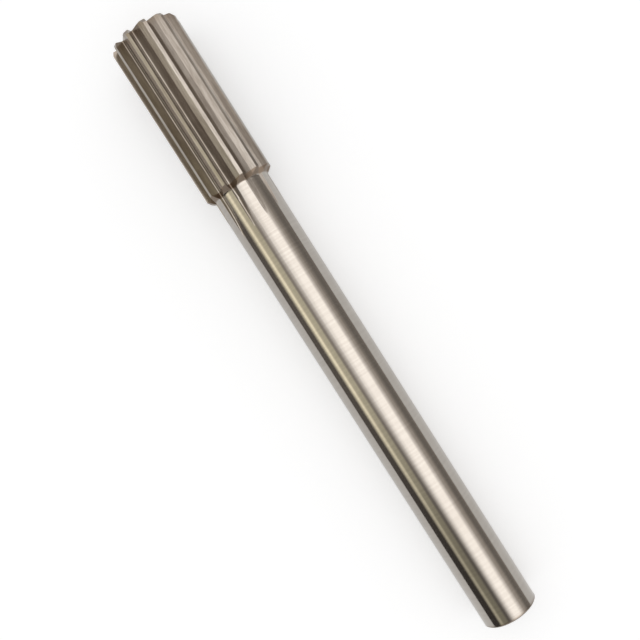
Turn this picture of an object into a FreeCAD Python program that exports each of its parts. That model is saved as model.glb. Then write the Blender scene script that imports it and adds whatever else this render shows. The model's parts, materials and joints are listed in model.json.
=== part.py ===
"""Machine reamer with straight teeth and a plain cylindrical shank, ground from one bar.

The tool is modelled along its own axis, with its tip at x = 0 and its shank towards +X. It is
then laid down as it comes to rest: on two neighbouring teeth and on the rim of the shank's end.
Millimetres, +Z up.
"""
import FreeCAD, Part
import math
import os

from FreeCAD import Placement, Rotation, Vector

# Lengths along the tool, from the tip
OVERALL_LENGTH = 226.0
CUTTING_LENGTH = 56.0

# Diameters
CUTTING_DIAMETER = 24.5
SHANK_DIAMETER = 20.0

# Turned edges
LEAD_CHAMFER = 1.2
LEAD_ANGLE = 30.0
SHOULDER_ANGLE = 48.0
SHOULDER_FILLET = 1.0
SHANK_CHAMFER = 0.5

# The centre hole in each end
CENTRE_MOUTH_DIAMETER = 6.7
CENTRE_CONE_ANGLE = 60.0
CENTRE_PILOT_DIAMETER = 3.15
CENTRE_PILOT_LENGTH = 3.0
DRILL_POINT_ANGLE = 120.0

# Teeth. The gaps between them shrink by one step from each to the next, which keeps the tool
# from chattering. The series runs round twice, so every tooth has another opposite it.
TOOTH_PAIRS = 6
PITCH_STEP = 1.0

# Behind its cutting edge a tooth has a narrow round margin, a land that falls away from it to
# the heel, and a flat back that falls away more steeply. Both angles are from the tangent.
MARGIN_WIDTH = 0.25
LAND_WIDTH = 0.9
LAND_ANGLE = 5.0
BACK_WIDTH = 2.1
BACK_ANGLE = 42.0

# Flutes, ground by a wheel with one flat side. That side leaves the radial face of the tooth.
FLUTE_ANGLE = 65.0
FLUTE_FILLET = 0.4
WHEEL_RADIUS = 100.0
WHEEL_OVERHANG = 1.0

# The flute that faces the ground when the tool lies at rest, counted from the widest
RESTING_FLUTE = 1

AXIS = Vector(1, 0, 0)
CUTTING_RADIUS = CUTTING_DIAMETER / 2
SHANK_RADIUS = SHANK_DIAMETER / 2


def polar(radius, degrees, x=0.0):
    """A point at x whose direction is turned from straight up towards the way the teeth cut."""
    angle = math.radians(degrees)
    return Vector(x, radius * math.sin(angle), radius * math.cos(angle))


def direction(point):
    """The direction of a point of the cross-section in degrees, as polar() takes it."""
    return math.degrees(math.atan2(point.y, point.z))


def turned(shape, degrees):
    """A copy of a shape, turned about the tool's axis the way the teeth cut."""
    copy = shape.copy()
    copy.rotate(Vector(0, 0, 0), AXIS, -degrees)
    return copy


def polyline(points):
    return [Part.LineSegment(a, b).toShape() for a, b in zip(points, points[1:])]


def pitch_angles():
    """The gap in front of each tooth in degrees, from the widest to the narrowest, twice."""
    mean = 180.0 / TOOTH_PAIRS
    middle = (TOOTH_PAIRS - 1) / 2
    return [mean + PITCH_STEP * (middle - index) for index in range(TOOTH_PAIRS)] * 2


def edge_angles():
    """The direction of each cutting edge in degrees, the first one straight up."""
    pitches = pitch_angles()
    return [sum(pitches[:index]) for index in range(len(pitches))]


def centre_hole():
    """Half the section of a centre hole, as (depth, radius) pairs from its mouth inwards."""
    mouth = CENTRE_MOUTH_DIAMETER / 2
    pilot = CENTRE_PILOT_DIAMETER / 2
    cone_end = (mouth - pilot) / math.tan(math.radians(CENTRE_CONE_ANGLE / 2))
    pilot_end = cone_end + CENTRE_PILOT_LENGTH
    point = pilot_end + pilot / math.tan(math.radians(DRILL_POINT_ANGLE / 2))
    return [(0, mouth), (cone_end, pilot), (pilot_end, pilot), (point, 0)]


def shoulder_foot():
    """Where the cone behind the teeth would meet the shank, measured from the tip."""
    drop = CUTTING_RADIUS - SHANK_RADIUS
    return CUTTING_LENGTH + drop / math.tan(math.radians(SHOULDER_ANGLE))


def shoulder_fillet():
    """The start, middle and end of the arc that joins the cone behind the teeth to the shank."""
    slope = math.radians(SHOULDER_ANGLE)
    foot = shoulder_foot()
    cone_length = (foot - CUTTING_LENGTH) / math.cos(slope)
    tangent = min(SHOULDER_FILLET * math.tan(slope / 2), cone_length)
    fillet = tangent / math.tan(slope / 2)
    centre = Vector(foot + tangent, 0, SHANK_RADIUS + fillet)
    start = Vector(foot - tangent * math.cos(slope), 0, SHANK_RADIUS + tangent * math.sin(slope))
    middle = centre - Vector(math.sin(slope / 2), 0, math.cos(slope / 2)) * fillet
    end = Vector(foot + tangent, 0, SHANK_RADIUS)
    return start, middle, end


def make_blank():
    """The turned blank before its flutes: head, shoulder, shank and both centre holes."""
    lead_rise = LEAD_CHAMFER * math.tan(math.radians(LEAD_ANGLE))
    fillet_start, fillet_middle, fillet_end = shoulder_fillet()

    head = [Vector(depth, 0, radius) for depth, radius in reversed(centre_hole())]
    head.append(Vector(0, 0, CUTTING_RADIUS - lead_rise))
    head.append(Vector(LEAD_CHAMFER, 0, CUTTING_RADIUS))
    head.append(Vector(CUTTING_LENGTH, 0, CUTTING_RADIUS))
    head.append(fillet_start)

    shank = [fillet_end]
    shank.append(Vector(OVERALL_LENGTH - SHANK_CHAMFER, 0, SHANK_RADIUS))
    shank.append(Vector(OVERALL_LENGTH, 0, SHANK_RADIUS - SHANK_CHAMFER))
    shank += [Vector(OVERALL_LENGTH - depth, 0, radius) for depth, radius in centre_hole()[:-1]]
    shank.append(Vector(OVERALL_LENGTH - centre_hole()[-1][0], 0, 0))
    shank.append(head[0])

    fillet = Part.Arc(fillet_start, fillet_middle, fillet_end).toShape()
    section = Part.Face(Part.Wire(polyline(head) + [fillet] + polyline(shank)))
    return section.revolve(Vector(0, 0, 0), AXIS, 360)


def tooth_back():
    """The outline behind an edge that points straight up: margin's end, heel and back's foot."""
    margin_end = polar(CUTTING_RADIUS, -math.degrees(MARGIN_WIDTH / CUTTING_RADIUS))
    heel = margin_end + polar(LAND_WIDTH, direction(margin_end) - 90 - LAND_ANGLE)
    foot = heel + polar(BACK_WIDTH, direction(heel) - 90 - BACK_ANGLE)
    return margin_end, heel, foot


def flute_corner(pitch):
    """How far from the axis a flute's sharp corner lies, if it ends at the next tooth's back."""
    foot = tooth_back()[-1]
    reached = polar(foot.Length, direction(foot) + pitch)
    return reached.z - reached.y / math.tan(math.radians(FLUTE_ANGLE))


def make_flute(pitch):
    """What the wheel grinds away in front of an edge that points straight up.

    The wheel runs level to the foot of the shoulder and then lifts out of the shank, so the
    flute ends in a scoop with the wheel's own radius.
    """
    half = math.radians(FLUTE_ANGLE / 2)
    corner = Vector(shoulder_foot(), 0, flute_corner(pitch))
    depth = CUTTING_RADIUS + WHEEL_OVERHANG - corner.z
    side = Vector(0, 0, 1)
    back = Vector(0, math.sin(2 * half), math.cos(2 * half))
    middle = Vector(0, math.sin(half), math.cos(half))

    tangent = FLUTE_FILLET / math.tan(half)
    bottom = corner + middle * (FLUTE_FILLET / math.sin(half) - FLUTE_FILLET)
    side_foot = corner + side * tangent
    back_foot = corner + back * tangent
    walls = [back_foot, corner + back * (depth / back.z), corner + side * depth, side_foot]
    fillet = Part.Arc(side_foot, bottom, back_foot).toShape()
    section = Part.Face(Part.Wire(polyline(walls) + [fillet]))

    level = section.extrude(AXIS * -(shoulder_foot() + WHEEL_OVERHANG))
    wheel_centre = corner + side * WHEEL_RADIUS
    lift = math.degrees(math.acos(1 - depth / WHEEL_RADIUS))
    scoop = section.revolve(wheel_centre, Vector(0, -1, 0), lift)
    return [level, scoop]


def make_relief():
    """What is ground off behind the margin of an edge that points straight up."""
    margin_end, heel, foot = tooth_back()
    past_foot = foot + (foot - heel) / 2
    outside = CUTTING_RADIUS + WHEEL_OVERHANG
    outer = [polar(outside, direction(past_foot)), polar(outside, direction(margin_end))]
    section = Part.Face(Part.Wire(polyline([margin_end, heel, past_foot] + outer + [margin_end])))
    return section.extrude(AXIS * shoulder_foot())


def make_reamer():
    """The finished tool on its own axis."""
    grinding = []
    for angle, pitch in zip(edge_angles(), pitch_angles()):
        cuts = make_flute(pitch) + [make_relief()]
        grinding += [turned(cut, angle) for cut in cuts]
    return make_blank().cut(grinding).removeSplitter()


def resting_placement():
    """Turn and tilt the tool so that it lies on two teeth and on the rim of its shank's end."""
    edge = edge_angles()[RESTING_FLUTE]
    next_edge = edge + pitch_angles()[RESTING_FLUTE]
    heel = tooth_back()[1]
    chord = polar(heel.Length, direction(heel) + next_edge) - polar(CUTTING_RADIUS, edge)
    facing = math.degrees(math.atan2(-chord.z, chord.y))
    roll = Rotation(AXIS, facing - 180)

    head_height = CUTTING_RADIUS * math.cos(math.radians(facing - edge))
    span = OVERALL_LENGTH - SHANK_CHAMFER - CUTTING_LENGTH
    tilt = math.degrees(math.atan((head_height - SHANK_RADIUS) / span))
    return Placement(Vector(0, 0, 0), Rotation(Vector(0, 1, 0), tilt).multiply(roll))


def lay_down(shape):
    """Set the tool on the ground, with the middle of its box over the origin."""
    laid = shape.copy()
    laid.Placement = resting_placement()
    box = laid.optimalBoundingBox(False, False)
    laid.translate(Vector(-box.Center.x, -box.Center.y, -box.ZMin))
    return laid


os.makedirs("parts", exist_ok=True)
lay_down(make_reamer()).exportStep("parts/reamer.step")
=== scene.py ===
# %% [markdown]
# # A machine reamer in ground steel
# A reamer opens a drilled hole to its exact size. This one is a single bar of tool steel, lying
# on its side: the toothed head towards -X and the plain shank towards +X.
#
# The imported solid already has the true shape, down to the margin on every tooth. So it could be
# modelled again here, but that would only copy it. It stays, and this lesson gives it what it
# lacks: the finish that grinding leaves, a tent of soft light, a floor and a camera.

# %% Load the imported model
import json
import math

import bmesh
import bpy
from mathutils import Matrix, Vector


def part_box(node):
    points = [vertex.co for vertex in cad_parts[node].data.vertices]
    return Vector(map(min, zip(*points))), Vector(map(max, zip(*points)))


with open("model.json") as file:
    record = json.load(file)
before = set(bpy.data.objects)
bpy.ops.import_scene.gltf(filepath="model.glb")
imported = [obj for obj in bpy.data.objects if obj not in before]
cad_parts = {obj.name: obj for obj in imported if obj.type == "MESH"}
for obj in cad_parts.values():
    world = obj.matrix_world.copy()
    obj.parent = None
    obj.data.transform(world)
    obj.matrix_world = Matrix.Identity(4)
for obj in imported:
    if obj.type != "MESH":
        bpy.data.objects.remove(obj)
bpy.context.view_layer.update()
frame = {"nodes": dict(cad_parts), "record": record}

print("nodes:", sorted(frame["nodes"]))

# %% [markdown]
# ## Where the tool lies
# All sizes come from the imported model, in metres. The node's box gives the length. The record's
# shank mount gives a point on the tool's own axis and its direction. The tool rests on its
# larger head, so the axis runs a little downhill towards the end of the shank.

# %% The tool's length and axis
MM = 0.001
low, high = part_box("reamer")
length = high.x - low.x
shank = next(m for m in frame["record"]["mounts"] if m["name"] == "shank")
shank_axis = Vector(shank["axis"]).normalized()
shank_point = Vector(shank["pos_m"])


def on_axis(x):
    """The point of the tool's axis that lies above or below a given X."""
    return shank_point + shank_axis * (x - shank_point.x) / shank_axis.x


tip_point = on_axis(low.x)
mid_point = on_axis((low.x + high.x) / 2)
print("length in mm:", round(length / MM, 1))
print("the axis falls by", round(math.degrees(math.asin(-shank_axis.z)), 2), "degrees")

# %% [markdown]
# ## The camera
# The view looks down on the tool from close by, so the ends are seen at a slant. It is turned in
# the picture until the teeth point to the upper left. The camera could be aimed with a Track To
# constraint, but three named directions show better what each angle does.

# %% Camera directions
CAMERA_ROUND = math.radians(4.2)
CAMERA_TILT = math.radians(3.83)
PICTURE_TURN = math.radians(32.49)

side_way = Vector((0, 1, 0))
up_way = shank_axis.cross(side_way)
to_camera = up_way * math.cos(CAMERA_ROUND) + side_way * math.sin(CAMERA_ROUND)
looking = shank_axis * math.sin(CAMERA_TILT) - to_camera * math.cos(CAMERA_TILT)
along = shank_axis * math.cos(CAMERA_TILT) + to_camera * math.sin(CAMERA_TILT)
across = along.cross(looking)
picture_right = along * math.sin(PICTURE_TURN) + across * math.cos(PICTURE_TURN)
picture_up = across * math.sin(PICTURE_TURN) - along * math.cos(PICTURE_TURN)
print("looking along", [round(c, 3) for c in looking])

# %% [markdown]
# The camera then steps back from the middle of the tool. Its distance and its two small side
# steps are shares of the length, so they would follow if the tool were longer.

# %% Camera
CAMERA_LENS = 45.54
FILM_WIDTH = 36.0
CAMERA_SHIFT = (-0.0570, 0.0796)
NEAREST, FARTHEST = 0.01, 20
CAMERA_DISTANCE = 1.194 * length
CAMERA_FOOT = -0.0111 * length
CAMERA_SIDESTEP = -0.0017 * length

camera = bpy.data.objects.new("camera", bpy.data.cameras.new("camera"))
bpy.context.scene.collection.objects.link(camera)
bpy.context.scene.camera = camera
camera.data.lens = CAMERA_LENS
camera.data.sensor_width = FILM_WIDTH
camera.data.shift_x, camera.data.shift_y = CAMERA_SHIFT
camera.data.clip_start, camera.data.clip_end = NEAREST, FARTHEST
place = mid_point + to_camera * CAMERA_DISTANCE
place += shank_axis * CAMERA_FOOT + across * CAMERA_SIDESTEP
turn = Matrix((picture_right, picture_up, -looking)).transposed().to_4x4()
camera.matrix_world = Matrix.Translation(place) @ turn
print("camera height in mm:", round(place.z / MM, 1))

# %% [markdown]
# ## Helpers for nodes
# A material is a graph of nodes. These helpers keep it short to write: one adds a node with its
# settings and its inputs, and the others do arithmetic, blends and groups with it.

# %% Node helpers
def add_node(tree, kind, inputs=(), **settings):
    """Add a node, set its properties, and link or set each of its (socket, value) inputs."""
    node = tree.nodes.new(kind)
    for name, value in settings.items():
        setattr(node, name, value)
    for socket, value in inputs:
        if isinstance(value, bpy.types.NodeSocket):
            tree.links.new(value, node.inputs[socket])
        else:
            node.inputs[socket].default_value = value
    return node


def math_step(tree, operation, *values):
    """The output of one Math node."""
    return add_node(tree, "ShaderNodeMath", list(enumerate(values)), operation=operation).outputs[0]


def fade(tree, value, start, end):
    """A smooth mask that is 0 at start and 1 at end."""
    inputs = [("Value", value), ("From Min", start), ("From Max", end)]
    return add_node(tree, "ShaderNodeMapRange", inputs, interpolation_type="SMOOTHSTEP").outputs[0]


def product(tree, *values):
    """All the values multiplied together."""
    result = values[0]
    for value in values[1:]:
        result = math_step(tree, "MULTIPLY", result, value)
    return result


def mixed(tree, mask, plain, covered):
    """Blend two colours by a mask. A Mix node has its colours at inputs 6 and 7, output 2."""
    inputs = [(0, mask), (6, plain), (7, covered)]
    return add_node(tree, "ShaderNodeMix", inputs, data_type="RGBA").outputs[2]


def looked_at(tree):
    """1 for the rays that look at a surface, from the camera or by way of a reflection, else 0."""
    rays = add_node(tree, "ShaderNodeLightPath").outputs
    seen = rays["Is Camera Ray"]
    for kind in ("Is Glossy Ray", "Is Transmission Ray"):
        seen = math_step(tree, "MAXIMUM", seen, rays[kind])
    return seen


def new_group(name, inputs, outputs):
    """An empty node group with named inputs and outputs, and its two end nodes."""
    group = bpy.data.node_groups.new(name, "ShaderNodeTree")
    for socket, kind in inputs:
        group.interface.new_socket(socket, in_out="INPUT", socket_type=kind)
    for socket, kind in outputs:
        group.interface.new_socket(socket, in_out="OUTPUT", socket_type=kind)
    start = group.nodes.new("NodeGroupInput")
    end = group.nodes.new("NodeGroupOutput")
    return group, start.outputs, end.inputs


def use_group(tree, group, inputs):
    """Place a node group in a tree and give its outputs."""
    return add_node(tree, "ShaderNodeGroup", inputs, node_tree=group).outputs


print("node helpers are ready")

# %% [markdown]
# ## Grinding lines
# A grinding wheel leaves fine scratches in the way it travels: round the shank, and lengthwise
# in the flutes. A noise texture that is squeezed one way and stretched the other gives such
# lines. Both finishes use the same group with their own two scales.

# %% Group: grinding lines
FLOAT, VECTOR = "NodeSocketFloat", "NodeSocketVector"
scratches, given, made = new_group(
    "grinding_lines",
    [("Place", VECTOR), ("Lines Per Metre", VECTOR)],
    [("Height", FLOAT), ("Tone", FLOAT)])
squeezed = add_node(
    scratches, "ShaderNodeVectorMath",
    [(0, given["Place"]), (1, given["Lines Per Metre"])], operation="MULTIPLY").outputs[0]
fine = add_node(
    scratches, "ShaderNodeTexNoise",
    [("Vector", squeezed), ("Scale", 1.0), ("Detail", 5.0), ("Roughness", 0.65)])
coarse = add_node(
    scratches, "ShaderNodeTexNoise",
    [("Vector", squeezed), ("Scale", 0.23), ("Detail", 3.0), ("Roughness", 0.5)])
scratches.links.new(fine.outputs[0], made["Height"])
both = math_step(scratches, "ADD", coarse.outputs[0], fine.outputs[0])
scratches.links.new(fade(scratches, both, 0.75, 1.25), made["Tone"])
print("group:", scratches.name)

# %% [markdown]
# ## Painted edge highlights
# A bright colour is painted along the sharp edges as a highlight, where rounded edges would catch
# the light. The Bevel node gives the normal that a rounded edge would have, and where it departs
# from the true one there is an edge. No extra faces are needed, and the cutting edges stay as
# sharp as they were ground.

# %% Group: painted edge highlights
edges, given, made = new_group("painted_edge_highlights", [("Width", FLOAT)], [("Mask", FLOAT)])
rounded = add_node(edges, "ShaderNodeBevel", [("Radius", given["Width"])], samples=4)
true_normal = add_node(edges, "ShaderNodeNewGeometry").outputs["Normal"]
agreement = add_node(
    edges, "ShaderNodeVectorMath",
    [(0, rounded.outputs[0]), (1, true_normal)], operation="DOT_PRODUCT").outputs["Value"]
edges.links.new(fade(edges, agreement, 0.985, 0.80), made["Mask"])
print("group:", edges.name)

# %% [markdown]
# ## Stains
# Oil and old coolant dry to a thin brown film in patches. Noise with many layers of detail gives
# patches with ragged borders, and an amount says how much of the surface they cover.

# %% Group: stains
stains, given, made = new_group(
    "stains",
    [("Place", VECTOR), ("Patches Per Metre", FLOAT), ("Amount", FLOAT)],
    [("Mask", FLOAT)])
cloud = add_node(
    stains, "ShaderNodeTexNoise",
    [("Vector", given["Place"]), ("Scale", given["Patches Per Metre"]),
     ("Detail", 6.0), ("Roughness", 0.62), ("Distortion", 0.4)]).outputs[0]
reach = math_step(stains, "ADD", cloud, math_step(stains, "SUBTRACT", given["Amount"], 0.5))
stains.links.new(fade(stains, reach, 0.42, 0.72), made["Mask"])
print("group:", stains.name)

# %% [markdown]
# ## The steel
# One bar has one material, but its finish changes from place to place. A Mapping node first lays
# the pattern along the tool's own axis: X becomes the distance from the tip, and the distance
# from the axis is the radius. Masks made from those two say what was ground which way.

# %% Steel: place on the tool
steel = bpy.data.materials.new("ground_steel")
steel.use_nodes = True
tree = steel.node_tree
shader = tree.nodes["Principled BSDF"]

level = shank_axis.rotation_difference(Vector((1, 0, 0)))
spot = add_node(
    tree, "ShaderNodeMapping",
    [("Vector", add_node(tree, "ShaderNodeTexCoord").outputs["Object"]),
     ("Location", -(level @ tip_point)), ("Rotation", level.to_euler())]).outputs[0]
parts = add_node(tree, "ShaderNodeSeparateXYZ", [(0, spot)]).outputs
from_tip = parts["X"]
radius = math_step(
    tree, "SQRT", math_step(
        tree, "ADD", math_step(tree, "POWER", parts["Y"], 2.0),
        math_step(tree, "POWER", parts["Z"], 2.0)))
print("level turn in degrees:", [round(math.degrees(a), 2) for a in level.to_euler()])

# %% [markdown]
# The shank was ground round and the flutes lengthwise. The skin past the shoulder that lies as
# far out as the shank's own radius is shank. All the rest, even the run-outs, was cut by a wheel.

# %% Steel: which way it was ground
CONE_LENGTH = 2.5 * MM
RING_SCALE = (5200, 90, 90)
FLUTE_SCALE = (260, 2600, 2600)
FLUTE_HEIGHT = 2.5
RING_TONE = 0.3

shank_radius = shank["dims"]["r_mm"] * MM
shank_start = (shank_point.x - tip_point.x) - shank["dims"]["length_mm"] * MM / 2
head_length = shank_start - CONE_LENGTH
past_shoulder = fade(tree, from_tip, shank_start - 0.9 * MM, shank_start - 0.4 * MM)
on_skin = fade(tree, radius, shank_radius - 0.12 * MM, shank_radius - 0.07 * MM)
turned = product(tree, past_shoulder, on_skin)
rings = use_group(tree, scratches, [("Place", spot), ("Lines Per Metre", RING_SCALE)])
lengthwise = use_group(tree, scratches, [("Place", spot), ("Lines Per Metre", FLUTE_SCALE)])


def by_finish(in_flutes, on_shank):
    """The shank's value where the skin was ground round, and the flutes' value elsewhere."""
    return add_node(
        tree, "ShaderNodeMix", [(0, turned), (2, in_flutes), (3, on_shank)]).outputs[0]


height = by_finish(product(tree, lengthwise["Height"], FLUTE_HEIGHT), rings["Height"])
faint_rings = math_step(tree, "ADD", product(tree, rings["Tone"], RING_TONE), 1 - RING_TONE)
tone = by_finish(lengthwise["Tone"], faint_rings)
print("shank starts at", round(shank_start / MM, 1), "mm from the tip")

# %% [markdown]
# Now the colour. Clean ground steel is a warm grey, and random patches of a brown film are real
# stains. The same brown is painted as shade on the tooth backs, at the tip, on the shoulder cone
# and at the end of the shank, strongest on the cone and at the two ends.

# %% Steel: colour
CLEAN = (0.400, 0.372, 0.338, 1)
DULL = (0.285, 0.258, 0.230, 1)
FILM_AND_SHADE = (0.180, 0.135, 0.098, 1)
# the next colour is a painted highlight, laid on the sharp edges
PAINTED_HIGHLIGHT = (0.62, 0.60, 0.57, 1)
HEEL_RADIUS = 12.0 * MM
BACK_FOOT_RADIUS = 11.0 * MM
EDGE_WIDTH = 0.12 * MM
EDGE_HIGHLIGHT_SHARE = 0.2

in_head = math_step(tree, "SUBTRACT", 1.0, turned)
before_shank = math_step(tree, "SUBTRACT", 1.0, past_shoulder)
past_head = fade(tree, from_tip, head_length - 0.1 * MM, head_length + 0.2 * MM)
below_heel = fade(tree, radius, HEEL_RADIUS + 0.05 * MM, HEEL_RADIUS - 0.05 * MM)
above_foot = fade(tree, radius, BACK_FOOT_RADIUS - 0.4 * MM, BACK_FOOT_RADIUS)


def patches(per_metre, amount):
    """A mask of stains on the steel."""
    inputs = [("Place", spot), ("Patches Per Metre", per_metre), ("Amount", amount)]
    return use_group(tree, stains, inputs)["Mask"]


FILM_AND_SHADE_PLACES = [
    ("whole tool", patches(45.0, 0.42), 0.12),
    ("head and flutes", product(tree, patches(160.0, 0.52), in_head), 0.16),
    # painted shade: the tooth backs in the flutes are darkened with the film colour
    ("painted shade on tooth backs", product(tree, below_heel, above_foot, in_head), 0.14),
    # painted shade: the tip, the shoulder cone and the end of the shank are darkened with the film
    # colour
    ("tip", fade(tree, from_tip, 4.5 * MM, 0.0), 0.5),
    ("shoulder cone", product(tree, past_head, before_shank), 0.85),
    ("end of the shank", fade(tree, from_tip, length - 1.6 * MM, length - 0.2 * MM), 0.85),
]
# one mask holds both the real stains and the painted shade
film_and_shade = 0.0
for _, mask, most in FILM_AND_SHADE_PLACES:
    film_and_shade = math_step(tree, "MAXIMUM", film_and_shade, product(tree, mask, most))
edge_highlight_mask = use_group(tree, edges, [("Width", EDGE_WIDTH)])["Mask"]

colour = mixed(tree, tone, DULL, CLEAN)
colour = mixed(tree, film_and_shade, colour, FILM_AND_SHADE)
# painted highlight: the edges are lifted towards the bright colour
colour = mixed(tree, product(tree, edge_highlight_mask, EDGE_HIGHLIGHT_SHARE), colour, PAINTED_HIGHLIGHT)
tree.links.new(colour, shader.inputs["Base Color"])
print("places with film:", ", ".join(name for name, _, _ in FILM_AND_SHADE_PLACES))

# %% [markdown]
# Steel is all metal, so one number sets Metallic. The film, and the places painted with shade, are
# duller than bare steel, and a Bump node turns the grinding lines into tiny grooves, which smear
# reflections across the lines.

# %% Steel: gloss and grooves
BARE_GLOSS = 0.11
FILM_GLOSS = 0.36
TONE_GLOSS = 0.03
GROOVE_DEPTH = 0.0012 * MM

shader.inputs["Metallic"].default_value = 1.0
dull = product(tree, film_and_shade, FILM_GLOSS - BARE_GLOSS)
patchy = product(tree, tone, -TONE_GLOSS)
gloss = math_step(tree, "ADD", BARE_GLOSS + TONE_GLOSS, math_step(tree, "ADD", dull, patchy))
tree.links.new(gloss, shader.inputs["Roughness"])
grooves = add_node(
    tree, "ShaderNodeBump", [("Height", height), ("Strength", 1.0), ("Distance", GROOVE_DEPTH)])
tree.links.new(grooves.outputs[0], shader.inputs["Normal"])

for slot in frame["nodes"]["reamer"].material_slots:
    slot.material = steel
print("roughness from", BARE_GLOSS, "to", FILM_GLOSS)

# %% [markdown]
# ## The floor
# A plain white floor, far wider than the view. Where the camera or a reflection sees it, a little
# glow from the material itself lifts it to white. It adds no light to the tool, and the soft
# shadow beside the tool stays.

# %% Floor
PAPER_WHITE = (0.9, 0.9, 0.9, 1)
FLOOR_HALF_WIDTH = 3.0
FLOOR_GLOW = 0.38

bm = bmesh.new()
bmesh.ops.create_grid(bm, x_segments=1, y_segments=1, size=FLOOR_HALF_WIDTH)
floor_mesh = bpy.data.meshes.new("floor")
bm.to_mesh(floor_mesh)
bm.free()
floor = bpy.data.objects.new("floor", floor_mesh)
bpy.context.scene.collection.objects.link(floor)

paper = bpy.data.materials.new("white_paper")
paper.use_nodes = True
matt = paper.node_tree.nodes["Principled BSDF"]
matt.inputs["Base Color"].default_value = PAPER_WHITE
matt.inputs["Roughness"].default_value = 0.9
matt.inputs["Specular IOR Level"].default_value = 0.0
paper.node_tree.links.new(looked_at(paper.node_tree), matt.inputs["Emission Color"])
matt.inputs["Emission Strength"].default_value = FLOOR_GLOW
floor_mesh.materials.append(paper)
print("floor width in m:", 2 * FLOOR_HALF_WIDTH)

# %% [markdown]
# ## The light tent
# Polished metal shows what stands round it, so metal tools are shown in a tent: a tube of
# cloth with pale and dark cards. Its bands of light become the long stripes on the shank. Lamps
# could light the steel too, but they would leave small hard glints.
#
# Each card reaches from one angle to another, in degrees from straight up, and has a colour and a
# strength. A colour ramp blends across the gaps between them. The list is short on purpose: a
# few cards make a tool look round, and every one of them can be moved to see what it does.

# %% Tent cards
WHITE, CREAM, WARM = (1.0, 0.98, 0.96), (1.0, 0.95, 0.75), (1.0, 0.92, 0.85)
CARDS = [
    ("dark flag", -95, -62, WARM, 0.2),
    ("window", -55, -50, CREAM, 2.0),
    ("curtain", -44, -30, CREAM, 1.0),
    ("wall", -22, -18, WARM, 0.5),
    ("soft box", 9, 29, WHITE, 2.4),
    ("side wall", 50, 55, WARM, 0.7),
    ("dark card", 68, 80, WARM, 0.3),
    ("table edge", 91, 95, WARM, 0.5),
]
print("cards in the tent:", len(CARDS))

# %% [markdown]
# The tent is an open tube round the tool, pulled along X from a circle. Only reflections see it,
# so it neither hides the tool from the camera nor shades the floor.

# %% Tent tube
TENT_RADIUS = 0.6
TENT_LENGTH = 2.4
TENT_SIDES = 96

bm = bmesh.new()
bmesh.ops.create_circle(bm, segments=TENT_SIDES, radius=TENT_RADIUS)
bmesh.ops.rotate(bm, verts=bm.verts, matrix=Matrix.Rotation(math.pi / 2, 3, "Y"))
bmesh.ops.translate(bm, verts=bm.verts, vec=(-TENT_LENGTH / 2, 0, mid_point.z))
pulled = bmesh.ops.extrude_edge_only(bm, edges=list(bm.edges))["geom"]
far_rim = [part for part in pulled if isinstance(part, bmesh.types.BMVert)]
bmesh.ops.translate(bm, verts=far_rim, vec=(TENT_LENGTH, 0, 0))
tent_mesh = bpy.data.meshes.new("tent")
bm.to_mesh(tent_mesh)
bm.free()
tent = bpy.data.objects.new("tent", tent_mesh)
bpy.context.scene.collection.objects.link(tent)
tent.visible_camera = False
tent.visible_diffuse = False
tent.visible_shadow = False
print("tent faces:", len(tent_mesh.polygons))

# %% [markdown]
# The cards go on the cloth by angle: the arctangent of Y and Z runs round the tube, and the ramp
# turns it into light. Along the tube, two blends change what stands beside each part.

# %% Tent cloth
RAMP_TOP = 3.0

cloth = bpy.data.materials.new("tent_cloth")
cloth.use_nodes = True
tree = cloth.node_tree
tree.nodes.clear()
parts = add_node(
    tree, "ShaderNodeSeparateXYZ",
    [(0, add_node(tree, "ShaderNodeTexCoord").outputs["Object"])]).outputs
turn_up = math_step(tree, "ARCTAN2", parts["Y"], parts["Z"])
round_tent = add_node(
    tree, "ShaderNodeMapRange",
    [("Value", turn_up), ("From Min", -math.pi), ("From Max", math.pi)]).outputs[0]


ramp = add_node(tree, "ShaderNodeValToRGB", [(0, round_tent)])
stops = ramp.color_ramp.elements
stops.remove(stops[1])
stops[0].position = 0.0
stops[0].color = (0, 0, 0, 1)  # under the floor, so never seen
for _, start, end, tint, strength in CARDS:
    for degrees in (start, end):
        stop = stops.new((degrees + 180) / 360)
        stop.color = (*[channel * strength / RAMP_TOP for channel in tint], 1)

# The window and the curtain stop before the shank's end, and a plain sheet fills in by the teeth.
SHEET_LIGHT, SHEET_SHARE, END_SHADE = 1.1, 0.45, 0.6
BLACK = (0, 0, 0, 1)
sheet = (*[channel * SHEET_LIGHT / RAMP_TOP for channel in WARM], 1)
by_teeth = fade(tree, parts["X"], -0.15, -0.25)
left_side = fade(tree, turn_up, 0.0, math.radians(-20))
by_end = product(tree, fade(tree, parts["X"], 0.02, 0.32), left_side)
cloth_light = mixed(tree, product(tree, by_teeth, SHEET_SHARE), ramp.outputs[0], sheet)
cloth_light = mixed(tree, product(tree, by_end, END_SHADE), cloth_light, BLACK)
glow = add_node(tree, "ShaderNodeEmission", [("Color", cloth_light), ("Strength", RAMP_TOP)])
add_node(tree, "ShaderNodeOutputMaterial", [("Surface", glow.outputs[0])])
tent_mesh.materials.append(cloth)
print("brightest card:", max(card[-1] for card in CARDS))

# %% [markdown]
# ## The room
# An even grey room outside the tent lights the floor from all sides, which gives the soft
# shadow where the tool touches it. Only where it is looked at is it white.

# %% World
ROOM_LIGHT = 0.72
world = bpy.data.worlds.new("room")
bpy.context.scene.world = world
world.use_nodes = True
room = world.node_tree.nodes["Background"]
room.inputs["Color"].default_value = (1, 1, 1, 1)
white = product(world.node_tree, looked_at(world.node_tree), 1 - ROOM_LIGHT)
strength = math_step(world.node_tree, "ADD", white, ROOM_LIGHT)
world.node_tree.links.new(strength, room.inputs["Strength"])
print("room light:", ROOM_LIGHT)

# %% [markdown]
# ## Finish
# The picture keeps colours as they are.

# %% View transform
bpy.context.scene.view_settings.view_transform = "Standard"
